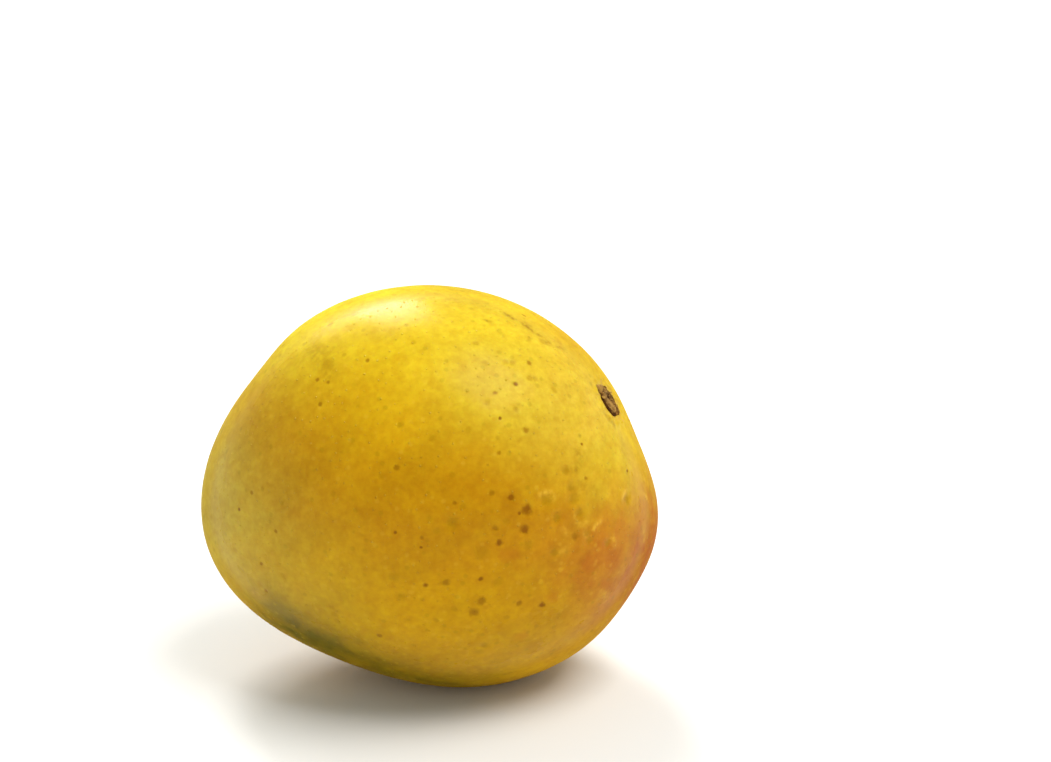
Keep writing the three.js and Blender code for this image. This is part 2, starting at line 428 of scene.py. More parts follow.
def allMarks():
    marks = [
        {"middle": seenAt(pixel), "wide": group["wide"], "kind": group["kind"]}
        for group in seenMarks for pixel in group["at"]]
    tip = directionTo(tipPoint["around"], tipPoint["out"])
    marks.append({
        "middle": tip * formRadius(tip[None])[0], "wide": tipPoint["wide"], "kind": tipPoint["kind"]})
    u = unseenMarks
    draw = np.random.default_rng(u["seed"])
    towardsCamera = (cameraPlace - formMiddle) / np.linalg.norm(cameraPlace - formMiddle)
    left = u["count"]
    while left:
        direction = draw.normal(size=3)
        direction /= np.linalg.norm(direction)
        wide = draw.uniform(u["narrow"], u["wide"])
        kind = u["kinds"][draw.integers(len(u["kinds"]))]
        middle = direction * formRadius(direction[None])[0]
        clear = min(np.linalg.norm(middle - mark["middle"]) for mark in marks) > u["apart"]
        seen = direction @ towardsCamera > u["towardsCamera"]
        if seen or direction @ scarDirection > u["towardsScar"] or not clear:
            continue
        if kind == "dark":
            wide *= u["darkShrink"]
        marks.append({"middle": middle, "wide": wide, "kind": kind})
        left -= 1
    return marks


marks = allMarks()
print(len(marks), "marks placed")

# brown rubbed scuffs, and tight raised creases whose pale colour is a painted highlight: breadth in mm,
# strength, and the places that each runs along, as the camera's frame shows them
scuffs = [
    (0.75, 0.75, [(524, 324), (529, 328), (533, 331)]),
    (0.6, 0.65, [(537, 334), (541, 336.5)]),
    (0.9, 0.5, [(544, 342), (549, 343)]),
    (0.8, 0.42, [(558, 347), (563, 349)]),
    (0.5, 0.6, [(527, 340), (530, 337)]),
    (0.65, 0.75, [(504, 313), (510, 316), (514, 319)]),
    (0.5, 0.4, [(485, 319), (491, 322)]),
    (0.5, 0.4, [(499, 331), (505, 337)]),
    (2.0, 0.36, [(312, 348), (322, 360), (330, 372)]),
    (0.7, 0.5, [(608, 414), (612, 420), (616, 425)]),
    (1.1, 0.4, [(578, 452), (580, 462), (576, 470)]),
    (1.3, 0.3, [(583, 486), (592, 490)]),
]
creasesWithPaintedGlint = [
    (0.55, 0.8, [(541, 494), (546, 492), (551, 493), (553, 498)]),
    (0.5, 0.8, [(593, 529), (597, 524), (600, 521)]),
    (0.5, 0.7, [(612, 537), (613, 541), (615, 545)]),
    (0.7, 0.8, [(623, 495), (625, 491)]),
    (0.5, 0.5, [(575, 521), (581, 525), (586, 522)]),
    (0.5, 0.5, [(563, 529), (567, 534)]),
    (0.5, 0.6, [(644, 494), (648, 500)]),
    (0.8, 0.4, [(602, 590), (606, 600)]),
    (0.6, 0.5, [(585, 534), (589, 537)]),
    (0.6, 0.4, [(560, 552), (566, 549)]),
]


def streakShare(streaks):
    share = np.zeros(len(plainSkin))
    for wide, strength, pixels in streaks:
        places = [seenAt(pixel) for pixel in pixels]
        for start, end in zip(places, places[1:]):
            along = end - start
            reach = np.clip((plainSkin - start) @ along / (along @ along), 0, 1)
            away = np.linalg.norm(plainSkin - start - reach[:, None] * along, axis=1)
            share = np.maximum(share, strength * np.exp(-(away / wide) ** 2))
    return share


creaseAndGlintShare = streakShare(creasesWithPaintedGlint)


# how far a place is from the corky crumb's middle, 1 at its edge
def crumbReach():
    crumb = stalkEnd["crumb"]
    away = np.hypot(
        skinDistance * np.cos(skinTurn) - crumb["back"], -skinDistance * np.sin(skinTurn) - crumb["side"])
    return away / crumb["wide"] + crumb["raggedness"] * lumps(plainSkin, crumb["raggedGrain"], 4)


# how far out the plug's torn edge stands at each turn, mm
def plugEdge(turn):
    waves = sum(size * np.cos(count * turn + shift) for count, shift, size in stalkEnd["edgeWaves"])
    return stalkEnd["edgeReach"] + waves - stalkEnd["edgeDip"] * tongueShare(turn)


# the skin's relief: unevenness, sunk marks with a faint rim, the bowl and its collar, the plug's hole
def skinRelief():
    s = skinMesh
    relief = s["broadRise"] * lumps(plainSkin, s["broadGrain"], 1)
    relief += s["fineRise"] * lumps(plainSkin, s["fineGrain"], 2)
    for mark in marks:
        away = np.linalg.norm(plainSkin - mark["middle"], axis=1) / mark["wide"]
        rim = markDent["rimRise"] * np.exp(-((away - markDent["rimAt"]) / markDent["rimWide"]) ** 2)
        dent = np.exp(-(away * markDent["steepness"]) ** 2) - rim
        relief -= markKinds[mark["kind"]]["sunk"] * dent
    relief += s["creaseRise"] * creaseAndGlintShare
    nearCollar = np.exp(-((skinDistance - s["gritAt"]) / s["gritReach"]) ** 2)
    grit = s["gritRise"] * lumps(plainSkin, s["gritGrain"], 3) * nearCollar
    relief += bowlAndCollar(skinDistance, skinTurn) + grit
    relief += s["crumbSwell"] * np.exp(-crumbReach() ** 2)
    edge = plugEdge(-skinTurn)
    wall = smoothStep(edge + stalkEnd["wallOutside"], edge - stalkEnd["wallInside"], skinDistance)
    return relief - stalkEnd["holeDepth"] * wall


# 0 well below the ground and the height itself well above it, with a soft bend between
def softGround(height):
    return 0.5 * (height + np.sqrt(height ** 2 + skinMesh["spotEdge"] ** 2))


# what would sink into the ground is pressed level
def pressedFlat(points):
    z = points[:, 2] / mm
    pressed = np.maximum(softGround(z) - softGround(-fruitForm["flatSpotDepth"]), 0)
    nearGround = z < 10 * skinMesh["spotEdge"]
    points[:, 2] = np.where(nearGround, pressed, z) * mm
    return points


skinRadius = formRadius(skinDirections) + skinRelief()
skinPoints = pressedFlat(placed(skinDirections * skinRadius[:, None]))

# broad patches of colour that run into each other, the later tones over the earlier ones: around, out
# and spread in degrees, and the share at the patch's middle; most are the peel's own tones, but some
# olive and ochre patches also paint shade, and the straw patches also paint a pale reflection
toneAndPaintedLightPatches = {
    "lemon": [
        (86, 8, 24, 1.0), (50, 20, 18, 0.6), (20, 22, 12, 0.45), (64, 27, 12, 0.3),
        (90, -35, 40, 0.9), (118, 10, 14, 0.3), (-155, 62, 15, 0.25)],
    "ochre": [
        (140, 44, 14, 0.8), (148, 20, 9, 0.5), (30, 68, 18, 0.8), (9, 47, 10, 0.62),
        (29, 33, 7, 0.3), (-82, 44, 8, 0.4), (165, 48, 14, 0.5), (100, 72, 14, 0.3),
        # the (76, -6) ochre patch is painted shade along the top rim
        (46, -2, 10, 0.6), (76, -6, 11, 0.35), (70, 80, 22, 0.35), (150, -52, 20, 0.7),
        (52, -38, 13, 0.5)],
    "amber": [(100, 40, 20, 0.55), (-70, 66, 19, 0.5), (20, -60, 30, 0.7)],
    # the straw patches at the left end are the peel's own straw tone, made paler there as a painted
    # reflection
    "straw_and_reflection": [(180, 28, 21, 0.85), (-178, 8, 14, 0.5), (175, -25, 22, 0.6)],
    "cream": [(34, 20, 12, 0.85), (60, 28, 12, 0.25)],
    "blush": [(-24, -28, 15, 0.5), (-4, 33, 11, 0.45), (-14, 26, 12, 0.5)],
    "rose": [(-10, 11, 11, 0.76), (-22, 4, 12, 0.3), (-6, 36, 5, 0.35)],
    # the olive patches along the underside are the peel's own olive, darkened as painted shade where it
    # meets the table
    "olive": [
        (-140, 32, 11, 0.55), (-124, 36, 13, 0.35), (-101, 34, 14, 0.6), (-130, 34, 7, 0.2),
        # (77, -9) paints shade along the top rim; (-150, -30) and (-100, -44) are the far cheek's own
        # olive
        (-92, 35, 8, 0.2), (-71, 29, 9, 0.5), (77, -9, 9, 0.22), (-150, -30, 16, 0.5),
        (-100, -44, 20, 0.35)],
}


def toneShare(tone):
    patches = [
        share * nearness(skinDirections, around, out, spread)
        for around, out, spread, share in toneAndPaintedLightPatches[tone]]
    return np.clip(sum(patches), 0, 1)


# the dark corky edge of the skin round the plug, which also paints shade on the wall of the plug's hole,
# and the tan skin that it fades into: how far each reaches, how ragged it is, and how it ends, in mm
corkAndShadeStain = {
    "past": 0.22, "raggedness": 0.25, "grain": 0.8, "endsOutside": 0.22, "endsInside": 0.12,
    "pushedBack": 0.5, "offTongues": 0.8,                # where a tongue of tan skin reaches over it
    # the crumb line is painted shade round the crumb's foot
    "crumbLine": 0.5, "crumbLineFrom": 1.25, "crumbLineTo": 1.0,         # a fainter line round the crumb
}
tanStain = {
    "reach": 4.2, "onTongues": 0.5, "onLobes": 0.3, "raggedness": 0.8, "grain": 1.3,
    "endsOutside": 0.5, "endsInside": 0.7, "share": 0.5,
}


def corkAndShadeShare():
    c = corkAndShadeStain
    tongue = tongueShare(-skinTurn)
    ragged = c["raggedness"] * lumps(plainSkin, c["grain"], 5)
    reach = plugEdge(-skinTurn) + c["past"] + ragged - c["pushedBack"] * tongue
    edge = smoothStep(reach + c["endsOutside"], reach - c["endsInside"], skinDistance)
    edge = edge * (1 - c["offTongues"] * tongue)
    line = c["crumbLine"] * smoothStep(c["crumbLineFrom"], c["crumbLineTo"], crumbReach())
    return np.maximum(edge, line)


def tanShare():
    t = tanStain
    reach = t["reach"] + t["onTongues"] * tongueShare(-skinTurn) + t["onLobes"] * collarLobe(skinTurn)
    reach = reach + t["raggedness"] * lumps(plainSkin, t["grain"], 6)
    return t["share"] * smoothStep(reach + t["endsOutside"], reach - t["endsInside"], skinDistance)


# every face knows the mark nearest to it, so that the material can draw its edge sharp
def nearestMarks(mesh):
    centres = np.empty(len(mesh.polygons) * 3, np.float32)
    mesh.polygons.foreach_get("center", centres)
    centres = (centres.reshape(-1, 3) - formMiddle) / (mm * formScale)
    best = np.full(len(centres), np.inf)
    nearest = np.zeros(len(centres), int)
    for n, mark in enumerate(marks):
        away = np.linalg.norm(centres - mark["middle"], axis=1) / mark["wide"]
        closer = away < best
        best[closer] = away[closer]
        nearest[closer] = n
    return nearest


def makeSkinMesh():
    mesh = meshOf("mango_skin", skinPoints, skinFaces)
    # tones of the peel, with painted shade and a painted reflection among them
    for tone in toneAndPaintedLightPatches:
        storeAttribute(mesh, tone, "FLOAT", "POINT", toneShare(tone))
    lie = np.stack([np.cos(skinTurn), np.sin(skinTurn), skinAngle * skinMesh["streakPitch"]], 1)
    storeAttribute(mesh, "lie", "FLOAT_VECTOR", "POINT", lie)          # streaks run away from the stalk
    # the cork share also paints shade on the wall of the plug's hole
    storeAttribute(mesh, "cork_and_shade", "FLOAT", "POINT", corkAndShadeShare())
    storeAttribute(mesh, "tan", "FLOAT", "POINT", tanShare())
    storeAttribute(mesh, "scuff", "FLOAT", "POINT", streakShare(scuffs))
    # the crease share also carries a painted highlight along the creases
    storeAttribute(mesh, "crease_glint", "FLOAT", "POINT", creaseAndGlintShare)
    nearest = nearestMarks(mesh)
    skinTree = BVHTree.FromPolygons([Vector(p) for p in skinPoints], skinFaces)
    middles = np.array([skinTree.find_nearest(Vector(placed(mark["middle"])))[0] for mark in marks])
    widths = np.array([mark["wide"] for mark in marks])
    kinds = [markKinds[mark["kind"]] for mark in marks]
    colours = np.array([linear(kind["colour"])[:3] + (kind["share"],) for kind in kinds])
    storeAttribute(mesh, "markPlace", "FLOAT_VECTOR", "FACE", middles[nearest])
    storeAttribute(mesh, "markWide", "FLOAT", "FACE", widths[nearest] * mm)
    storeAttribute(mesh, "markColour", "FLOAT_COLOR", "FACE", colours[nearest])
    return mesh


# ripe mango peel: a thin waxy cuticle over juicy flesh; light sinks in a little, so its yellow glows,
# and the wax gives a broad satin shine; fine paler and darker flecks break up every patch of colour
peel = {
    # the straw tone also paints a pale reflection along the left end
    "golden": "#CC9E0A", "lemon": "#DCCA28", "ochre": "#BA8406", "amber": "#DEAC06", "straw_and_reflection": "#C9AE38",
    "cream": "#DAB83A", "blush": "#BE7C10", "rose": "#AE6414", "olive": "#6A6002",
    # the crease tone is a pale painted highlight, and the cork tone also paints shade in the plug's hole
    "cork_and_shade": "#4E2C08", "tan": "#BE8C42", "scuff": "#8A5E00", "crease_glint": "#DCAC30", "pore": "#E4B83A",
    # clouds of tone: colour, noise from, to, share
    "clouds": [("#A47C04", 0.50, 0.72, 0.35), ("#CEA010", 0.46, 0.28, 0.30)],
    "cloudGrain": 7.0, "wearGrain": 0.9, "blotchGrain": 5.0,        # mm
    "mottle": "#DCC088", "mottles": [(3.4, 0.26), (1.5, 0.30), (0.8, 0.20)],     # grain in mm, share
    # flecks: colour, mm apart, breadth as a part of that, how many are left out, share
    "flecks": [("#EEC844", 2.3, 0.27, 0.35, 0.11), ("#7E6600", 2.7, 0.25, 0.35, 0.22)],
    "streaks": 5.0, "streakStrength": 0.05, "blushStreaks": 0.25,
    "smoothest": 0.23, "dullest": 0.32, "sheenGrain": 9.0,          # roughness, and mm
    # the wax's faint bloom dulls the shine where the peel is seen edge on
    "bloomRoughness": 0.8, "bloomFrom": 0.52, "bloomTo": 0.76, "corkRoughness": 0.85,
    "specular": 0.14, "shine": "#FFEEC4", "ior": 1.45,
    # how much light goes through the flesh, how many mm deep red goes, and the three colours next to it
    "flesh": 0.15, "fleshDepth": 2.0, "fleshColours": (1.0, 0.45, 0.08),
    "bumpGrain": 0.45, "bumpDepth": 0.12, "bumpStrength": 0.14, "markDrop": -0.8,      # mm, mm, shares
}


def peelColour(tree, place):
    cloud = addNode(tree, "ShaderNodeTexNoise", None, {
        "Vector": place, "Scale": 1 / (peel["cloudGrain"] * mm), "Detail": 4.0,
        "Distortion": 0.6}).outputs["Fac"]
    lie = addNode(tree, "ShaderNodeAttribute", {"attribute_name": "lie"}).outputs["Vector"]
    streak = addNode(tree, "ShaderNodeTexNoise", None, {
        "Vector": lie, "Scale": peel["streaks"], "Detail": 4.0}).outputs["Fac"]
    patchy = addNode(tree, "ShaderNodeMapRange", None, {
        "Value": cloud, "From Min": 0.3, "From Max": 0.7,
        "To Min": 0.75, "To Max": 1.2}).outputs["Result"]
    streaky = addNode(tree, "ShaderNodeMapRange", None, {
        "Value": streak, "From Min": 0.35, "From Max": 0.65,
        "To Min": 1 - peel["blushStreaks"], "To Max": 1 + peel["blushStreaks"]})
    blotch = addNode(tree, "ShaderNodeTexNoise", None, {
        "Vector": place, "Scale": 1 / (peel["blotchGrain"] * mm), "Detail": 3.0})
    blotchy = addNode(tree, "ShaderNodeMapRange", None, {
        "Value": blotch.outputs["Fac"], "From Min": 0.36, "From Max": 0.64,
        "To Min": 0.7, "To Max": 1.25})
    flushed = addNode(tree, "ShaderNodeMath", {"operation": "MULTIPLY"}, {
        0: streaky.outputs["Result"], 1: blotchy.outputs["Result"]}).outputs[0]
    colour = linear(peel["golden"])
    for tone, low, high, most in peel["clouds"]:
        share = addNode(tree, "ShaderNodeMapRange", None, {
            "Value": cloud, "From Min": low, "From Max": high, "To Max": most})
        colour = addNode(tree, "ShaderNodeMix", {"data_type": "RGBA"}, {
            0: share.outputs["Result"], 6: colour, 7: linear(tone)}).outputs[2]
    for tone in toneAndPaintedLightPatches:
        patch = addNode(tree, "ShaderNodeAttribute", {"attribute_name": tone}).outputs["Fac"]
        uneven = flushed if tone in ("blush", "rose") else patchy
        share = addNode(tree, "ShaderNodeMath", {"operation": "MULTIPLY", "use_clamp": True}, {
            0: patch, 1: uneven})
        colour = addNode(tree, "ShaderNodeMix", {"data_type": "RGBA"}, {
            0: share.outputs[0], 6: colour, 7: linear(peel[tone])}).outputs[2]
    lined = addNode(tree, "ShaderNodeMapRange", None, {
        "Value": streak, "From Min": 0.35, "From Max": 0.65,
        "To Min": 1 - peel["streakStrength"], "To Max": 1 + peel["streakStrength"]})
    colour = addNode(tree, "ShaderNodeVectorMath", {"operation": "SCALE"}, {
        0: colour, "Scale": lined.outputs["Result"]}).outputs[0]
    for size, most in peel["mottles"]:
        mottle = addNode(tree, "ShaderNodeTexNoise", None, {
            "Vector": place, "Scale": 1 / (size * mm), "Detail": 2.0}).outputs["Fac"]
        share = addNode(tree, "ShaderNodeMapRange", None, {
            "Value": mottle, "From Min": 0.35, "From Max": 0.68, "To Max": most})
        colour = addNode(tree, "ShaderNodeMix", {"data_type": "RGBA", "blend_type": "MULTIPLY"}, {
            0: share.outputs["Result"], 6: colour, 7: linear(peel["mottle"])}).outputs[2]
    for tone, apart, size, leftOut, most in peel["flecks"]:
        cells = addNode(tree, "ShaderNodeTexVoronoi", None, {"Vector": place, "Scale": 1 / (apart * mm)})
        drawn = addNode(tree, "ShaderNodeSeparateColor", None, {"Color": cells.outputs["Color"]})
        kept = addNode(tree, "ShaderNodeMath", {"operation": "GREATER_THAN"}, {
            0: drawn.outputs["Red"], 1: leftOut})
        fleck = addNode(tree, "ShaderNodeMapRange", {"interpolation_type": "SMOOTHSTEP"}, {
            "Value": cells.outputs["Distance"], "From Min": size, "From Max": size * 0.4, "To Max": most})
        share = addNode(tree, "ShaderNodeMath", {"operation": "MULTIPLY"}, {
            0: fleck.outputs["Result"], 1: kept.outputs[0]})
        colour = addNode(tree, "ShaderNodeMix", {"data_type": "RGBA"}, {
            0: share.outputs[0], 6: colour, 7: linear(tone)}).outputs[2]
    return colour


# how much of its mark a place has, its edge worn by fine noise
def markShare(tree, place, wear):
    middle = addNode(tree, "ShaderNodeAttribute", {"attribute_name": "markPlace"}).outputs["Vector"]
    wide = addNode(tree, "ShaderNodeAttribute", {"attribute_name": "markWide"}).outputs["Fac"]
    away = addNode(tree, "ShaderNodeVectorMath", {"operation": "DISTANCE"}, {0: place, 1: middle})
    inWidths = addNode(tree, "ShaderNodeMath", {"operation": "DIVIDE"}, {
        0: away.outputs["Value"], 1: wide})
    wobble = addNode(tree, "ShaderNodeMapRange", None, {
        "Value": wear, "From Min": 0.25, "From Max": 0.75, "To Min": -0.17, "To Max": 0.17})
    edge = addNode(tree, "ShaderNodeMath", {"operation": "ADD"}, {
        0: inWidths.outputs[0], 1: wobble.outputs["Result"]})
    return addNode(tree, "ShaderNodeMapRange", {"interpolation_type": "SMOOTHSTEP"}, {
        "Value": edge.outputs[0], "From Min": 0.72, "From Max": 0.18}).outputs["Result"]


def ripePeel():
    material = bpy.data.materials.new("ripe_mango_peel")
    material.use_nodes = True
    tree = material.node_tree
    tree.nodes.clear()
    place = addNode(tree, "ShaderNodeTexCoord").outputs["Object"]
    wear = addNode(tree, "ShaderNodeTexNoise", None, {
        "Vector": place, "Scale": 1 / (peel["wearGrain"] * mm), "Detail": 3.0}).outputs["Fac"]
    worn = addNode(tree, "ShaderNodeMapRange", None, {
        "Value": wear, "From Min": 0.36, "From Max": 0.6,
        "To Min": 0.25, "To Max": 1.0}).outputs["Result"]
    colour = peelColour(tree, place)
    shares = {
        name: addNode(tree, "ShaderNodeAttribute", {"attribute_name": name}).outputs["Fac"]
        for name in ("pore", "scuff", "crease_glint", "tan", "cork_and_shade")}
    # the crease tone mixed in here is a painted highlight
    for name in ("pore", "scuff", "crease_glint"):
        share = addNode(tree, "ShaderNodeMath", {"operation": "MULTIPLY"}, {0: shares[name], 1: worn})
        colour = addNode(tree, "ShaderNodeMix", {"data_type": "RGBA"}, {
            0: share.outputs[0], 6: colour, 7: linear(peel[name])}).outputs[2]
    mark = markShare(tree, place, wear)
    markColour = addNode(tree, "ShaderNodeAttribute", {"attribute_name": "markColour"}).outputs
    marked = addNode(tree, "ShaderNodeMath", {"operation": "MULTIPLY"}, {0: mark, 1: markColour["Alpha"]})
    colour = addNode(tree, "ShaderNodeMix", {"data_type": "RGBA"}, {
        0: marked.outputs[0], 6: colour, 7: markColour["Color"]}).outputs[2]
    tanned = addNode(tree, "ShaderNodeMath", {"operation": "MULTIPLY"}, {0: shares["tan"], 1: worn})
    # the cork tone also paints shade in the plug's hole
    for share, tone in ((tanned.outputs[0], "tan"), (shares["cork_and_shade"], "cork_and_shade")):
        colour = addNode(tree, "ShaderNodeMix", {"data_type": "RGBA"}, {
            0: share, 6: colour, 7: linear(peel[tone])}).outputs[2]
    sheen = addNode(tree, "ShaderNodeTexNoise", None, {
        "Vector": place, "Scale": 1 / (peel["sheenGrain"] * mm), "Detail": 3.0})
    satin = addNode(tree, "ShaderNodeMapRange", None, {
        "Value": sheen.outputs["Fac"], "From Min": 0.3, "From Max": 0.7,
        "To Min": peel["smoothest"], "To Max": peel["dullest"]})
    edgeOn = addNode(tree, "ShaderNodeLayerWeight", None, {"Blend": 0.5}).outputs["Facing"]
    bloom = addNode(tree, "ShaderNodeMapRange", {"interpolation_type": "SMOOTHSTEP"}, {
        "Value": edgeOn, "From Min": peel["bloomFrom"], "From Max": peel["bloomTo"]})
    dulled = addNode(tree, "ShaderNodeMix", {"data_type": "FLOAT"}, {
        0: bloom.outputs["Result"], 2: satin.outputs["Result"], 3: peel["bloomRoughness"]})
    dry = addNode(tree, "ShaderNodeMix", {"data_type": "FLOAT"}, {
        0: shares["cork_and_shade"], 2: dulled.outputs[0], 3: peel["corkRoughness"]})
    pores = addNode(tree, "ShaderNodeTexNoise", None, {
        "Vector": place, "Scale": 1 / (peel["bumpGrain"] * mm), "Detail": 2.0})
    height = addNode(tree, "ShaderNodeMath", {"operation": "MULTIPLY_ADD"}, {
        0: mark, 1: peel["markDrop"], 2: pores.outputs["Fac"]})
    bump = addNode(tree, "ShaderNodeBump", None, {
        "Strength": peel["bumpStrength"], "Distance": peel["bumpDepth"] * mm,
        "Height": height.outputs[0]})
    shader = addNode(tree, "ShaderNodeBsdfPrincipled", {"subsurface_method": "RANDOM_WALK"}, {
        "Base Color": colour, "Roughness": dry.outputs[0], "IOR": peel["ior"],
        "Specular IOR Level": peel["specular"], "Specular Tint": linear(peel["shine"]),
        "Normal": bump.outputs["Normal"],
        "Subsurface Weight": peel["flesh"], "Subsurface Radius": peel["fleshColours"],
        "Subsurface Scale": peel["fleshDepth"] * mm})
    addNode(tree, "ShaderNodeOutputMaterial", None, {"Surface": shader.outputs[0]})
    return material


ripeSkin = ripePeel()
skin = addPiece("mango_skin", makeSkinMesh(), ripeSkin)
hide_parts("fruit")
print("skin made,", len(skin.data.polygons), "faces")

# lenticels, the pale pores of the peel: low domes scattered over the skin, unevenly and in many sizes
lenticels = {
    "Apart": 1.5 * mm, "Radius": 0.24 * mm, "Rise": 0.006 * mm, "Kept": 0.5, "Seed": 4,
    "smallest": 0.45, "largest": 1.2, "palest": 0.34, "mostCork": 0.05,
}


def lenticelTree():
    tree = startTree("lenticels", ("Apart", "Radius", "Rise", "Kept", "Seed"))
    given = addNode(tree, "NodeGroupInput").outputs
    cork_and_shade = addNode(tree, "GeometryNodeInputNamedAttribute", {"data_type": "FLOAT"}, {"Name": "cork_and_shade"})
    clean = addNode(tree, "FunctionNodeCompare", {"data_type": "FLOAT", "operation": "LESS_THAN"}, {
        0: cork_and_shade.outputs["Attribute"], 1: lenticels["mostCork"]})
    points = addNode(tree, "GeometryNodeDistributePointsOnFaces", {"distribute_method": "POISSON"}, {
        "Mesh": given["Geometry"], "Distance Min": given["Apart"], "Density Max": 4e6,
        "Seed": given["Seed"], "Selection": clean.outputs[0]})
    chance = addNode(tree, "FunctionNodeRandomValue", {"data_type": "BOOLEAN"}, {
        "Probability": given["Kept"], "Seed": given["Seed"]})
    dome = addNode(tree, "GeometryNodeMeshUVSphere", None, {"Segments": 8, "Rings": 3, "Radius": 1.0})
    form = addNode(tree, "ShaderNodeCombineXYZ", None, {
        "X": given["Radius"], "Y": given["Radius"], "Z": given["Rise"]})
    size = addNode(tree, "FunctionNodeRandomValue", {"data_type": "FLOAT"}, {
        2: lenticels["smallest"], 3: lenticels["largest"], "Seed": given["Seed"]})
    scale = addNode(tree, "ShaderNodeVectorMath", {"operation": "SCALE"}, {
        0: form.outputs[0], "Scale": size.outputs[1]})
    domes = addNode(tree, "GeometryNodeInstanceOnPoints", None, {
        "Points": points.outputs["Points"], "Selection": chance.outputs[3],
        "Instance": dome.outputs["Mesh"], "Rotation": points.outputs["Rotation"],
        "Scale": scale.outputs[0]})
    pale = addNode(tree, "FunctionNodeRandomValue", {"data_type": "FLOAT"}, {
        2: 0.0, 3: lenticels["palest"], "Seed": 9})
    perDome = {"data_type": "FLOAT", "domain": "INSTANCE"}
    toned = addNode(tree, "GeometryNodeStoreNamedAttribute", perDome, {
        "Geometry": domes.outputs["Instances"], "Name": "pore", "Value": pale.outputs[1]})
    real = addNode(tree, "GeometryNodeRealizeInstances", None, {"Geometry": toned.outputs["Geometry"]})
    dressed = addNode(tree, "GeometryNodeSetMaterial", None, {
        "Geometry": real.outputs["Geometry"], "Material": ripeSkin})
    addNode(tree, "NodeGroupOutput", None, {"Geometry": dressed.outputs["Geometry"]})
    return tree


poreMesh = grown("lenticels", skin.data, lenticelTree(), lenticels)
addPiece("lenticels", poreMesh, ripeSkin)
print("lenticels made,", len(poreMesh.polygons), "faces")

# the stem scar: a corky plug standing a little proud, with the old stalk's ring, pit and pith
plug = {
    "radius": 3.4, "depth": 1.9, "segments": 168, "rings": 84,
    "walls": [(0.2, 1.01), (0.45, 0.99), (1.0, 0.97)],       # share of the depth, breadth there
    "rimRise": 0.42, "sag": 0.12, "grain": 0.6, "roughRise": 0.24,
    "tongueRise": 0.12, "tongueFrom": 2.2, "tongueTo": 3.2, "tongueTone": (2.3, 3.1),
    "ringRadius": 1.8, "ringRise": 0.16, "ringBreadth": 0.2, "ringTone": 0.55,
    "grooveRadius": 2.3, "grooveDepth": 0.16, "grooveBreadth": 0.3,
    "cracks": 13, "crackDepth": 0.16, "crackDrift": 1.3, "crackSharpness": 8, "crackTone": 0.8,
    "edgeFrom": 1.05, "edgeTo": 0.3,                         # the dark edge, mm in from the radius
    "edgeRaggedness": 0.4, "edgeGrain": 0.8,
    # pits and crumbs of the torn face, in mm from its middle towards the back and the near cheek
    "spots": [
        # the pit tone darkens the sunk pits, partly as painted shade
        {"tone": "pit_and_shade", "back": 0.45, "side": -0.75, "wide": 0.95, "rise": -0.55, "share": 1.0},
        {"tone": "pit_and_shade", "back": 0.65, "side": -2.3, "wide": 0.6, "rise": -0.25, "share": 0.95},
        {"tone": "pit_and_shade", "back": 0.1, "side": 0.1, "wide": 0.45, "rise": -0.2, "share": 0.6},
        {"tone": "pit_and_shade", "back": -0.75, "side": -3.0, "wide": 0.8, "rise": -0.2, "share": 0.9},
        {"tone": "pit_and_shade", "back": 2.3, "side": 0.3, "wide": 0.55, "rise": -0.25, "share": 0.9},
        {"tone": "pit_and_shade", "back": -2.1, "side": -1.1, "wide": 0.5, "rise": -0.2, "share": 0.9},
        {"tone": "pit_and_shade", "back": 1.3, "side": 2.2, "wide": 0.5, "rise": -0.15, "share": 0.7},
        {"tone": "pith", "back": -0.55, "side": 0.9, "wide": 1.0, "rise": 0.12, "share": 0.8},
        {"tone": "pith", "back": -2.2, "side": 0.5, "wide": 0.6, "rise": 0.22, "share": 0.9},
        {"tone": "pith", "back": 1.6, "side": -1.9, "wide": 0.5, "rise": 0.15, "share": 0.7},
    ],
}


# the scar's own frame, as in the solid: on the floor of the bowl and square to the skin
def scarFrame():
    reach = stalkEnd["holeRadius"] / scarDistance

    def skinAt(angle, turn):
        direction = directionsFromScar(np.array([angle]), np.array([turn]))
        radius = formRadius(direction) + bowlAndCollar(np.array([angle * scarDistance]), np.array([turn]))
        return (direction * radius[:, None])[0]

    acrossBack = skinAt(reach, 0.0) - skinAt(reach, math.pi)
    acrossSide = skinAt(reach, math.pi / 2) - skinAt(reach, -math.pi / 2)
    outward = np.cross(acrossSide, acrossBack)
    outward /= np.linalg.norm(outward)
    back = towardsBack - outward * (towardsBack @ outward)
    back /= np.linalg.norm(back)
    return skinAt(0.0, 0.0), np.stack([back, np.cross(outward, back), outward])


scarMiddle, scarAxes = scarFrame()


# from the scar's own mm, with Z out of the skin, to the frame
def onScar(points):
    return placed(points @ scarAxes + scarMiddle)


def plugHeight(radius, turn):
    p = plug
    out = radius / p["radius"]
    height = p["rimRise"] - p["sag"] * out ** 4
    height += p["ringRise"] * ringShare(radius, turn)
    height -= p["grooveDepth"] * np.exp(-((radius - p["grooveRadius"]) / p["grooveBreadth"]) ** 2)
    for spot in p["spots"]:
        height += spot["rise"] * spotShare(spot, radius, turn)
    height -= p["crackDepth"] * crackShare(radius, turn)
    tongue = tongueShare(turn) * smoothStep(p["tongueFrom"], p["tongueTo"], radius)
    return height * (1 - tongue) + p["tongueRise"] * tongue


# the torn edge is split by cracks that start at the groove
def crackShare(radius, turn):
    drift = plug["crackDrift"] * np.sin(2 * turn)
    crack = np.abs(np.sin(plug["cracks"] * turn / 2 + drift)) ** plug["crackSharpness"]
    return crack * smoothStep(plug["grooveRadius"] - 0.2, plug["radius"] - 0.3, radius)


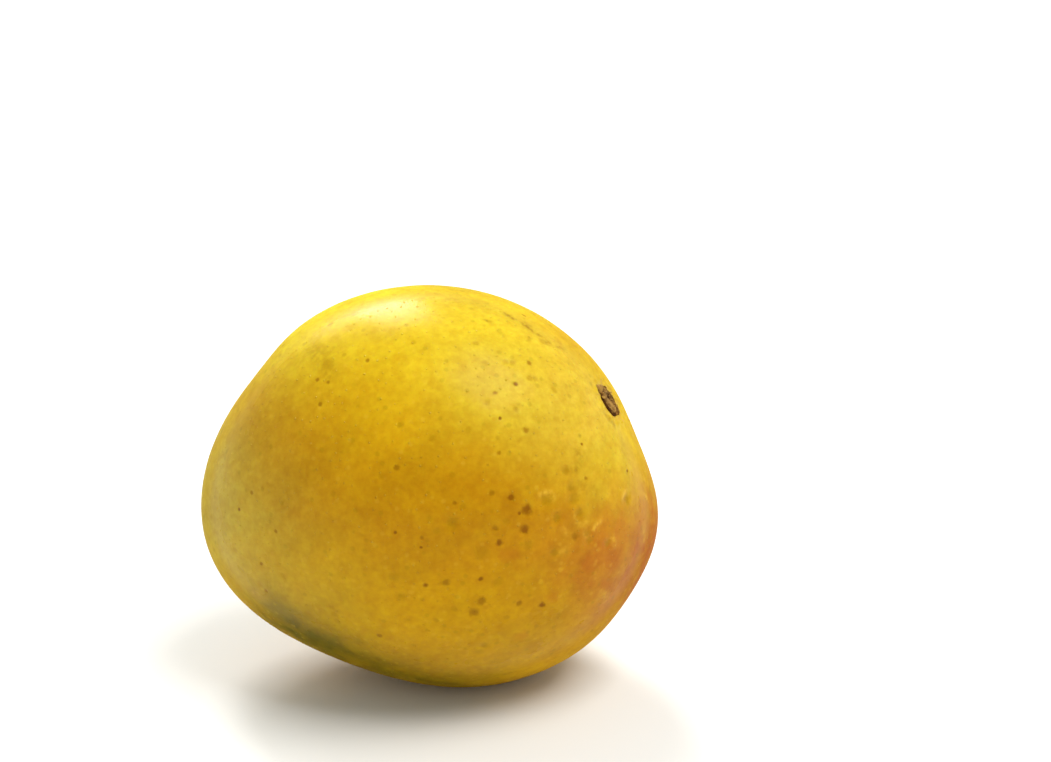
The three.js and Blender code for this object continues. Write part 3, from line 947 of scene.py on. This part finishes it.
# the old stalk's ring is left in two arcs only
def ringShare(radius, turn):
    arcs = smoothStep(-0.3, 0.5, np.sin(turn + 0.6) + 0.6 * np.cos(2 * turn + 2.0))
    return np.exp(-((radius - plug["ringRadius"]) / plug["ringBreadth"]) ** 2) * arcs


def spotShare(spot, radius, turn):
    away = np.hypot(radius * np.cos(turn) - spot["back"], radius * np.sin(turn) - spot["side"])
    return spot["share"] * np.exp(-(away / spot["wide"]) ** 2)


def makePlugMesh():
    p = plug
    n = p["segments"]
    radii = np.linspace(0, p["radius"], p["rings"])[1:]
    turns = 2 * math.pi * np.arange(n) / n
    radius = np.concatenate([[0], np.repeat(radii, n)])
    turn = np.concatenate([[0], np.tile(turns, len(radii))])
    # the torn outline's waves die away towards the middle
    wide = radius * (1 + (plugEdge(turn) / p["radius"] - 1) * (radius / p["radius"]) ** 3)
    top = np.stack([wide * np.cos(turn), wide * np.sin(turn), plugHeight(radius, turn)], 1)
    # coarse lumps, and finer ones half as high
    top[:, 2] += p["roughRise"] * (lumps(top, p["grain"], 7) + 0.5 * lumps(top, p["grain"] / 2.5, 8))
    rim = top[-n:]
    walls = [
        np.stack([rim[:, 0] * wider, rim[:, 1] * wider, (1 - down) * rim[:, 2] - down * p["depth"]], 1)
        for down, wider in p["walls"]]
    points = np.concatenate([top, *walls, [[0, 0, -p["depth"]]]])
    faces = [[0, 1 + k, 1 + (k + 1) % n] for k in range(n)]
    ringCount = len(radii) + len(walls)
    for ring in range(ringCount - 1):
        a, b = 1 + ring * n, 1 + (ring + 1) * n
        faces += [[a + k, b + k, b + (k + 1) % n, a + (k + 1) % n] for k in range(n)]
    last = 1 + (ringCount - 1) * n
    faces += [[last + (k + 1) % n, last + k, len(points) - 1] for k in range(n)]
    mesh = meshOf("stem_scar_plug", onScar(points), faces)
    out = np.concatenate([radius, np.full(len(walls) * n + 1, p["radius"] + 0.5)])
    turn = np.concatenate([turn, np.tile(turns, len(walls)), [0]])
    ragged = p["edgeRaggedness"] * lumps(points, p["edgeGrain"], 9)
    tones = {
        # the pit tone in the cracks is partly painted shade
        "ring": p["ringTone"] * ringShare(out, turn),
        "pit_and_shade": p["crackTone"] * crackShare(out, turn), "pith": 0,
        # the dark edge tone covers the plug's side wall, where it is painted shade
        "edge": smoothStep(p["radius"] - p["edgeFrom"], p["radius"] - p["edgeTo"], out + ragged),
        "tongue": tongueShare(turn) * smoothStep(*p["tongueTone"], out),
    }
    for spot in p["spots"]:
        tones[spot["tone"]] = np.maximum(tones[spot["tone"]], spotShare(spot, out, turn))
    for tone, share in tones.items():
        storeAttribute(mesh, tone, "FLOAT", "POINT", share)
    return mesh


# dry stalk wood and cork: dull, gritty and full of tiny pits, tan where weathered and dark where torn;
# the dark on the plug's side wall and in its pits and cracks is partly painted shade
stalkWood = {
    "bark": "#8E6832", "grit": "#543006", "ring": "#AC8850", "pit_and_shade": "#381A02", "pith": "#B88C48",
    "edge": "#4A2804", "tongue": "#9C6C2E", "bead": "#B28A44",
    "roughness": 0.88, "specular": 0.1, "bumpStrength": 0.5,
    "gritGrain": 0.45, "fineGrain": 0.25, "bumpDepth": 0.1,          # mm
}


def dryStalkWood():
    material = bpy.data.materials.new("dry_stalk_wood")
    material.use_nodes = True
    tree = material.node_tree
    tree.nodes.clear()
    place = addNode(tree, "ShaderNodeTexCoord").outputs["Object"]
    grit = addNode(tree, "ShaderNodeTexNoise", None, {
        "Vector": place, "Scale": 1 / (stalkWood["gritGrain"] * mm), "Detail": 3.0}).outputs["Fac"]
    gritty = addNode(tree, "ShaderNodeMapRange", None, {
        "Value": grit, "From Min": 0.47, "From Max": 0.64, "To Max": 0.75})
    colour = addNode(tree, "ShaderNodeMix", {"data_type": "RGBA"}, {
        0: gritty.outputs["Result"],
        6: linear(stalkWood["bark"]), 7: linear(stalkWood["grit"])}).outputs[2]
    for tone in ("ring", "pith", "edge", "pit_and_shade", "tongue", "bead"):
        share = addNode(tree, "ShaderNodeAttribute", {"attribute_name": tone}).outputs["Fac"]
        colour = addNode(tree, "ShaderNodeMix", {"data_type": "RGBA"}, {
            0: share, 6: colour, 7: linear(stalkWood[tone])}).outputs[2]
    fine = addNode(tree, "ShaderNodeTexNoise", None, {
        "Vector": place, "Scale": 1 / (stalkWood["fineGrain"] * mm), "Detail": 2.0}).outputs["Fac"]
    shade = addNode(tree, "ShaderNodeMapRange", None, {
        "Value": fine, "From Min": 0.3, "From Max": 0.7, "To Min": 0.7, "To Max": 1.25})
    scaled = addNode(tree, "ShaderNodeVectorMath", {"operation": "SCALE"}, {
        0: colour, "Scale": shade.outputs["Result"]})
    bump = addNode(tree, "ShaderNodeBump", None, {
        "Strength": stalkWood["bumpStrength"], "Distance": stalkWood["bumpDepth"] * mm, "Height": grit})
    shader = addNode(tree, "ShaderNodeBsdfPrincipled", None, {
        "Base Color": scaled.outputs[0], "Roughness": stalkWood["roughness"],
        "Specular IOR Level": stalkWood["specular"], "Normal": bump.outputs["Normal"]})
    addNode(tree, "ShaderNodeOutputMaterial", None, {"Surface": shader.outputs[0]})
    return material


scarWood = dryStalkWood()
scarPlug = addPiece("stem_scar_plug", makePlugMesh(), scarWood)
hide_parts("stem_scar")


# the crumb is a lump of the same cork, half sunk in the skin beside the plug
def makeCrumbMesh():
    crumb = stalkEnd["crumb"]
    turn = -math.atan2(crumb["side"], crumb["back"])
    away = math.hypot(crumb["back"], crumb["side"])
    direction = directionsFromScar(np.array([away / scarDistance]), np.array([turn]))
    radius = formRadius(direction) + bowlAndCollar(np.array([away]), np.array([turn]))
    base = direction * radius[:, None]
    shell = bmesh.new()
    bmesh.ops.create_icosphere(shell, subdivisions=4, radius=1.0)
    points = np.array([v.co[:] for v in shell.verts])
    faces = [[v.index for v in face.verts] for face in shell.faces]
    shell.free()
    points *= 1 + sum(size * lumps(points, grain, seed) for size, grain, seed in crumb["lumps"])[:, None]
    points *= [crumb["wide"] * crumb["squeezed"], crumb["wide"], crumb["rise"]]
    mesh = meshOf("scar_crumb", placed(points @ scarAxes + base), faces)
    # darker where it meets the skin, a painted shade, and paler on top, a painted light
    storeAttribute(mesh, "edge", "FLOAT", "POINT", 0.8 * smoothStep(0.25, -0.1, points[:, 2]))
    storeAttribute(mesh, "bead", "FLOAT", "POINT", 0.5 * smoothStep(0.2, 0.5, points[:, 2]))
    return mesh


addPiece("scar_crumb", makeCrumbMesh(), scarWood)

# pale corky beads round the plug, where the parts of the flower fell off, and the stalk's torn fibres
scarBits = {
    "scar_beads": {
        "Count": 13, "Radius": 2.75 * mm, "Size": 0.44 * mm, "Loose": 0.4 * mm, "Flat": 0.45, "Seed": 3,
        "Kept": 0.7, "place": (0.0, 0.0, 0.24), "tilt": 0.5, "tone": "bead"},
    "scar_fibres": {
        "Count": 16, "Radius": 0.8 * mm, "Size": 0.12 * mm, "Loose": 0.4 * mm, "Flat": 3.0, "Seed": 8,
        "Kept": 0.8, "place": (0.45, -0.85, 0.25), "tilt": 0.7, "tone": "pith"},
}
# each bit's size as parts of Size, its way off the circle as parts of Loose, its turn, how pale it is,
# and the mm by which its surface is worn
bitRange = {
    "size": [(0.5, 0.5, 0.6), (1.3, 1.15, 1.2)], "loose": [(-1, -1, -0.3), (1, 1, 0.3)], "spin": 3.1,
    "palest": (0.1, 0.75), "wear": 0.15, "wearGrain": 0.45, "wearSeeds": (31, 32, 33),
}


# bits set round a circle, each shifted, turned and sized a little differently
def scarBitsTree(name):
    bits = scarBits[name]
    tree = startTree(name, ("Count", "Radius", "Size", "Loose", "Flat", "Kept", "Seed"))
    given = addNode(tree, "NodeGroupInput").outputs
    circle = addNode(tree, "GeometryNodeMeshCircle", None, {
        "Vertices": given["Count"], "Radius": given["Radius"]})
    if name == "scar_fibres":
        bit = addNode(tree, "GeometryNodeMeshCone", None, {
            "Vertices": 6, "Side Segments": 2, "Radius Top": 0.25, "Radius Bottom": 1.0, "Depth": 1.0})
    else:
        bit = addNode(tree, "GeometryNodeMeshIcoSphere", None, {"Radius": 1.0, "Subdivisions": 3})
    tilt, spin = bits["tilt"], bitRange["spin"]
    turned = addNode(tree, "FunctionNodeRandomValue", {"data_type": "FLOAT_VECTOR"}, {
        0: (-tilt, -tilt, -spin), 1: (tilt, tilt, spin), "Seed": given["Seed"]})
    size = addNode(tree, "FunctionNodeRandomValue", {"data_type": "FLOAT_VECTOR"}, {
        0: bitRange["size"][0], 1: bitRange["size"][1], "Seed": given["Seed"]})
    form = addNode(tree, "ShaderNodeCombineXYZ", None, {"X": 1.0, "Y": 1.0, "Z": given["Flat"]})
    shaped = addNode(tree, "ShaderNodeVectorMath", {"operation": "MULTIPLY"}, {
        0: size.outputs[0], 1: form.outputs[0]})
    scale = addNode(tree, "ShaderNodeVectorMath", {"operation": "SCALE"}, {
        0: shaped.outputs[0], "Scale": given["Size"]})
    loose = addNode(tree, "FunctionNodeRandomValue", {"data_type": "FLOAT_VECTOR"}, {
        0: bitRange["loose"][0], 1: bitRange["loose"][1], "Seed": given["Seed"]})
    shift = addNode(tree, "ShaderNodeVectorMath", {"operation": "SCALE"}, {
        0: loose.outputs[0], "Scale": given["Loose"]})
    moved = addNode(tree, "GeometryNodeSetPosition", None, {
        "Geometry": circle.outputs["Mesh"], "Offset": shift.outputs[0]})
    chance = addNode(tree, "FunctionNodeRandomValue", {"data_type": "BOOLEAN"}, {
        "Probability": given["Kept"], "Seed": given["Seed"]})
    placedBits = addNode(tree, "GeometryNodeInstanceOnPoints", None, {
        "Points": moved.outputs["Geometry"], "Selection": chance.outputs[3],
        "Instance": bit.outputs["Mesh"], "Rotation": turned.outputs[0], "Scale": scale.outputs[0]})
    tone = addNode(tree, "FunctionNodeRandomValue", {"data_type": "FLOAT"}, {
        2: bitRange["palest"][0], 3: bitRange["palest"][1], "Seed": 5})
    perBit = {"data_type": "FLOAT", "domain": "INSTANCE"}
    toned = addNode(tree, "GeometryNodeStoreNamedAttribute", perBit, {
        "Geometry": placedBits.outputs["Instances"], "Name": bits["tone"], "Value": tone.outputs[1]})
    real = addNode(tree, "GeometryNodeRealizeInstances", None, {"Geometry": toned.outputs["Geometry"]})
    dressed = addNode(tree, "GeometryNodeSetMaterial", None, {
        "Geometry": real.outputs["Geometry"], "Material": scarWood})
    addNode(tree, "NodeGroupOutput", None, {"Geometry": dressed.outputs["Geometry"]})
    return tree


def addScarBits(name):
    mesh = grown(name, meshOf("seed", [(0, 0, 0)], []), scarBitsTree(name), scarBits[name])
    points = np.empty(len(mesh.vertices) * 3, np.float32)
    mesh.vertices.foreach_get("co", points)
    points = points.reshape(-1, 3) / mm
    worn = np.stack([lumps(points, bitRange["wearGrain"], seed) for seed in bitRange["wearSeeds"]], 1)
    points += bitRange["wear"] * worn + scarBits[name]["place"]
    mesh.vertices.foreach_set("co", onScar(points).astype(np.float32).ravel())
    mesh.update()
    addPiece(name, mesh, scarWood)


for bitsName in scarBits:
    addScarBits(bitsName)
print("stem scar made")

# the studio: a pale table, two soft boxes behind the fruit to its left, a big one high on its right,
# and a white room all round
studio = {
    "table": "#E7E6E3", "tableHalf": 12.0, "tableRoughness": 0.7,
    "tableDrop": 0.03,                                   # mm, so that the skin never lies in the table
    "sky": "#F4F8F3", "skyStrength": 0.60,
    "boxAway": 2.4,                                      # m
    "boxes": [
        {"name": "back_box", "azimuth": -19, "height": 47, "wide": 0.64, "tall": 1.3, "power": 38},
        {"name": "side_box", "azimuth": -36, "height": 36, "wide": 0.8, "tall": 0.8, "power": 8},
        {"name": "top_box", "azimuth": 112, "height": 63, "wide": 1.4, "tall": 1.3, "power": 48},
    ],
}


def addTable():
    half, z = studio["tableHalf"], -studio["tableDrop"] * mm
    corners = [(-half, -half, z), (half, -half, z), (half, half, z), (-half, half, z)]
    mesh = meshOf("table", corners, [(0, 1, 2, 3)])
    material = bpy.data.materials.new("white_table")
    material.use_nodes = True
    shader = material.node_tree.nodes["Principled BSDF"]
    shader.inputs["Base Color"].default_value = linear(studio["table"])
    shader.inputs["Roughness"].default_value = studio["tableRoughness"]
    mesh.materials.append(material)
    table = bpy.data.objects.new("table", mesh)
    bpy.context.scene.collection.objects.link(table)


def addLights():
    for box in studio["boxes"]:
        a, e = math.radians(box["azimuth"]), math.radians(box["height"])
        towards = Vector((math.sin(a) * math.cos(e), math.cos(a) * math.cos(e), math.sin(e)))
        data = bpy.data.lights.new(box["name"], "AREA")
        data.shape, data.energy = "RECTANGLE", box["power"]
        data.size, data.size_y = box["wide"], box["tall"]
        lamp = bpy.data.objects.new(box["name"], data)
        lamp.location = Vector(formMiddle) + towards * studio["boxAway"]
        lamp.rotation_euler = towards.to_track_quat("Z", "Y").to_euler()
        bpy.context.scene.collection.objects.link(lamp)
    world = bpy.data.worlds.new("white_room")
    world.use_nodes = True
    sky = world.node_tree.nodes["Background"]
    sky.inputs["Color"].default_value = linear(studio["sky"])
    sky.inputs["Strength"].default_value = studio["skyStrength"]
    bpy.context.scene.world = world


addTable()
addLights()
bpy.context.scene.view_settings.view_transform = "Standard"
print("studio set")
